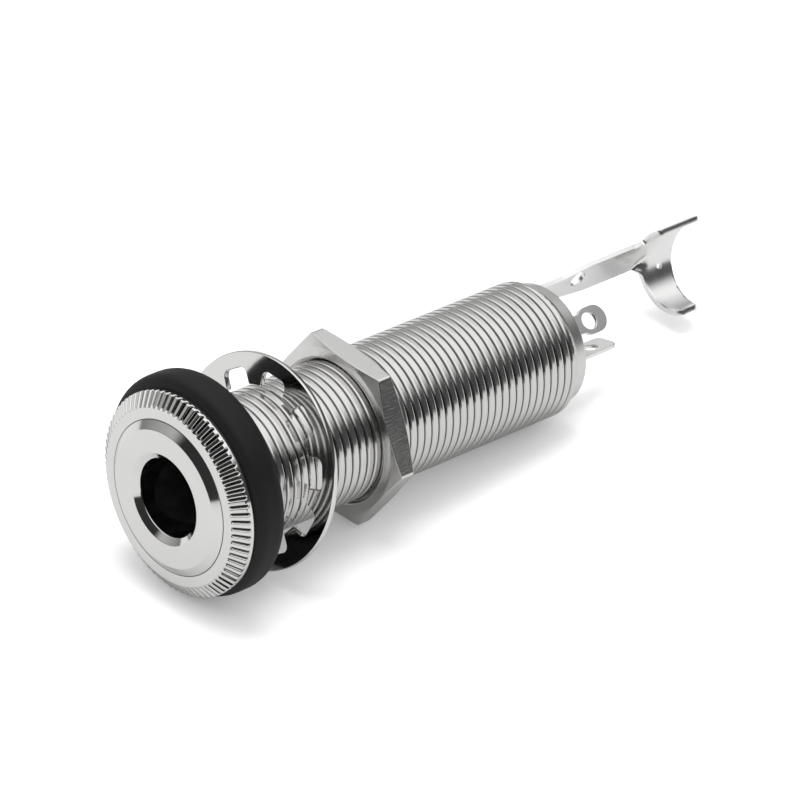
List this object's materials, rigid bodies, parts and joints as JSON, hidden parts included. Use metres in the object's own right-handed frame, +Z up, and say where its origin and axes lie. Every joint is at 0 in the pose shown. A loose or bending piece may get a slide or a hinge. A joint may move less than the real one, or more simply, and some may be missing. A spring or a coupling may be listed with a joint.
{
  "type": "quarter inch phone jack",
  "caption": "Long threaded barrel phone jack with a knurled flange, rubber and toothed washers, a hex nut, solder lugs and a cable clamp, for a quarter inch stereo plug.",
  "frame": {"origin": "on the jack's axis, in the plane of the flange's back face, where the rubber washer seats", "axes": "+Y along the jack's axis from the plug's mouth to the solder lugs; +Z up as the jack lies on a bench"},
  "size_m": [0.0188, 0.0623, 0.0188],
  "materials": {
    "plated_barrel": "bright nickel plate",
    "rubber": "matte",
    "plated_washer": "bright nickel plate",
    "plated_nut": "satin nickel plate",
    "fibre": "laminated fibre",
    "liner": "insulating sleeve",
    "plated_terminal": "tinned",
    "spring_metal": "plated spring strip"
  },
  "bodies": {
    "barrel": {"barrel": "plated_barrel", "rubber_washer": "rubber", "lock_washer": "plated_washer", "insulating_liner": "liner", "front_insulator": "fibre", "ring_lug": "plated_terminal", "middle_insulator": "fibre", "tip_lug": "plated_terminal", "rear_insulator": "fibre", "sleeve_strip": "plated_terminal"},
    "nut": {"hex_nut": "plated_nut"},
    "ring_contact": {"ring_spring": "spring_metal"},
    "tip_contact": {"tip_spring": "spring_metal"}
  },
  "joints": [
    {"name": "nut_travel", "type": "slide", "parent": "barrel", "child": "nut", "axis": [0, 1, 0], "range_m": [-0.0059, 0.0205]},
    {"name": "ring_contact_flex", "type": "hinge", "parent": "barrel", "child": "ring_contact", "pos_m": [0, 0.0338, 0.00337], "axis": [-1, 0, 0], "range_deg": [0, 4.5], "stiffness_Nm_per_rad": 0.2},
    {"name": "tip_contact_flex", "type": "hinge", "parent": "barrel", "child": "tip_contact", "pos_m": [0, 0.0338, -0.00337], "axis": [1, 0, 0], "range_deg": [0, 5.5], "stiffness_Nm_per_rad": 0.15}
  ]
}
